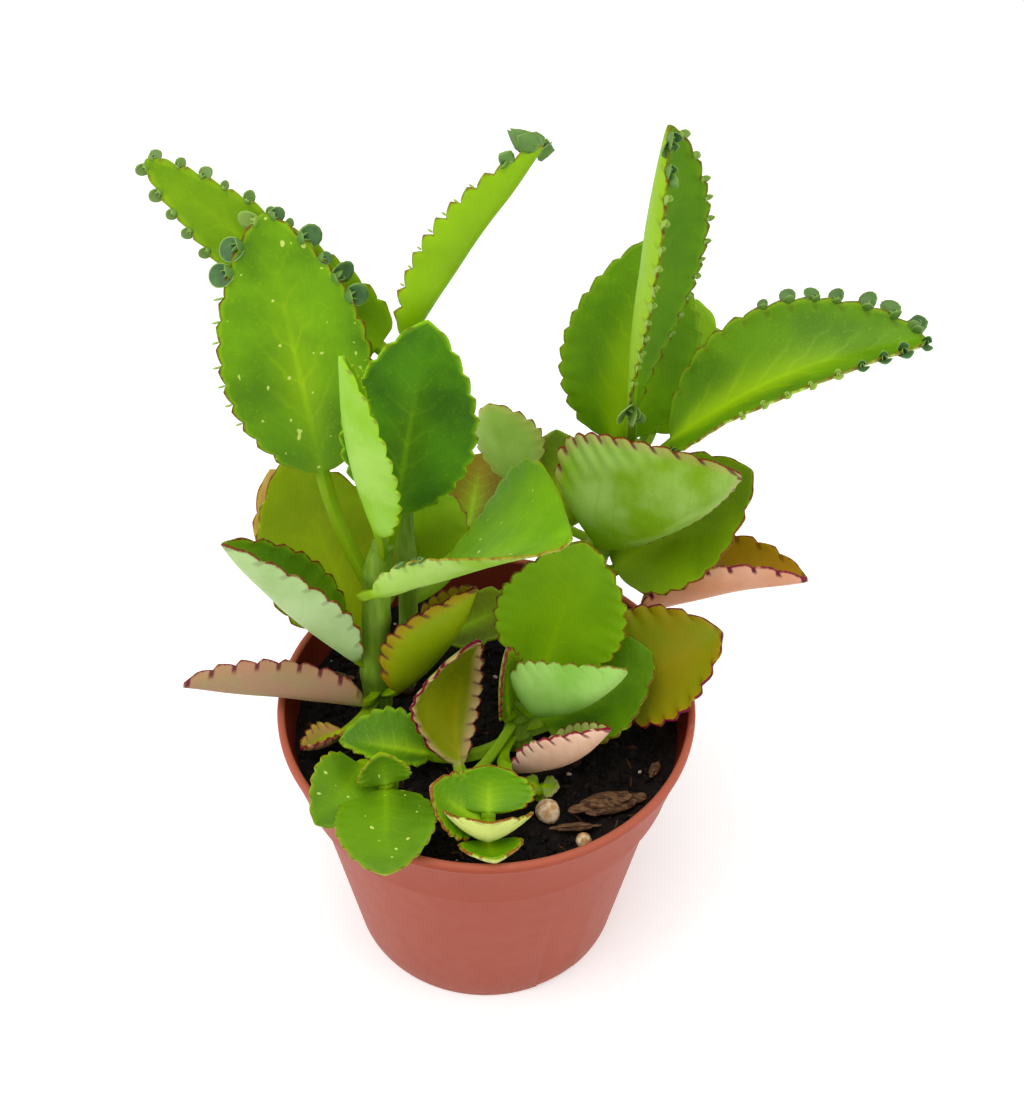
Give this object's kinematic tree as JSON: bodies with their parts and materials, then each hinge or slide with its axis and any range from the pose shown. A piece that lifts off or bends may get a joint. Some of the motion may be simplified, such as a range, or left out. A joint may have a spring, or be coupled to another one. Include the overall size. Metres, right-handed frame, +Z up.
{
  "type": "potted kalanchoe",
  "caption": "Leafy succulent with toothed, cupped leaves that carry young plantlets on their margins, growing from dark soil in a round, tapered plastic nursery pot.",
  "frame": {"origin": "middle of the flat underside of the pot's foot, on the surface that the pot stands on", "axes": "+Z up; +Y to the back, away from the side with the two rooted plantlets; +X to the right as seen from the front"},
  "size_m": [0.173, 0.1183, 0.2221],
  "materials": {
    "pot": "thin terracotta-coloured polypropylene with a soft sheen",
    "soil": "moist dark potting soil, crumbly",
    "stem": "smooth green stem",
    "leaf_fresh": "smooth waxy young leaf",
    "leaf_deep": "smooth waxy leaf, deep green",
    "leaf_pale": "pale grey-green underside",
    "leaf_olive": "older olive leaf with a brown margin",
    "leaf_orange": "sun-aged orange leaf",
    "leaf_pink": "pinkish underside with purple marks",
    "bark": "rough bark",
    "stone": "pale grit"
  },
  "bodies": {
    "root": {"pot": "pot", "soil": "soil", "left_stem": "stem", "rear_stem": "stem", "right_stem": "stem", "centre_stem": "stem", "left_leaf_tall": "leaf_fresh", "left_leaf_round": "leaf_deep", "left_leaf_narrow": "leaf_pale", "left_leaf_folded": "leaf_pale", "left_leaf_low_left": "leaf_pale", "left_leaf_behind": "leaf_olive", "left_leaf_lowest": "leaf_pink", "left_leaf_low_right": "leaf_olive", "left_leaf_far": "leaf_pink", "left_leaf_small": "leaf_pink", "rear_leaf_arching": "leaf_fresh", "rear_leaf_upright": "leaf_fresh", "rear_leaf_back": "leaf_pale", "rear_leaf_brown": "leaf_orange", "rear_leaf_low": "leaf_olive", "right_leaf_upright": "leaf_deep", "right_leaf_folded": "leaf_fresh", "right_leaf_rear": "leaf_fresh", "right_leaf_arching": "leaf_fresh", "right_leaf_shell": "leaf_pale", "right_leaf_lower": "leaf_deep", "right_leaf_orange": "leaf_orange", "right_leaf_left": "leaf_pale", "right_leaf_back": "leaf_olive", "centre_leaf_upright": "leaf_fresh", "centre_leaf_right": "leaf_deep", "centre_leaf_shell": "leaf_pale", "centre_leaf_left": "leaf_pale", "centre_leaf_near": "leaf_pink", "centre_leaf_cupped": "leaf_olive", "centre_leaf_low_left": "leaf_pale", "centre_leaf_low_right": "leaf_orange", "front_left_plantlet": "leaf_fresh", "front_plantlet": "leaf_fresh", "seedling": "leaf_pale", "bark_chip": "bark", "bark_crumb": "bark", "bark_splinter": "bark", "round_stone": "stone", "pale_stone": "stone", "twig": "bark"}
  },
  "joints": []
}
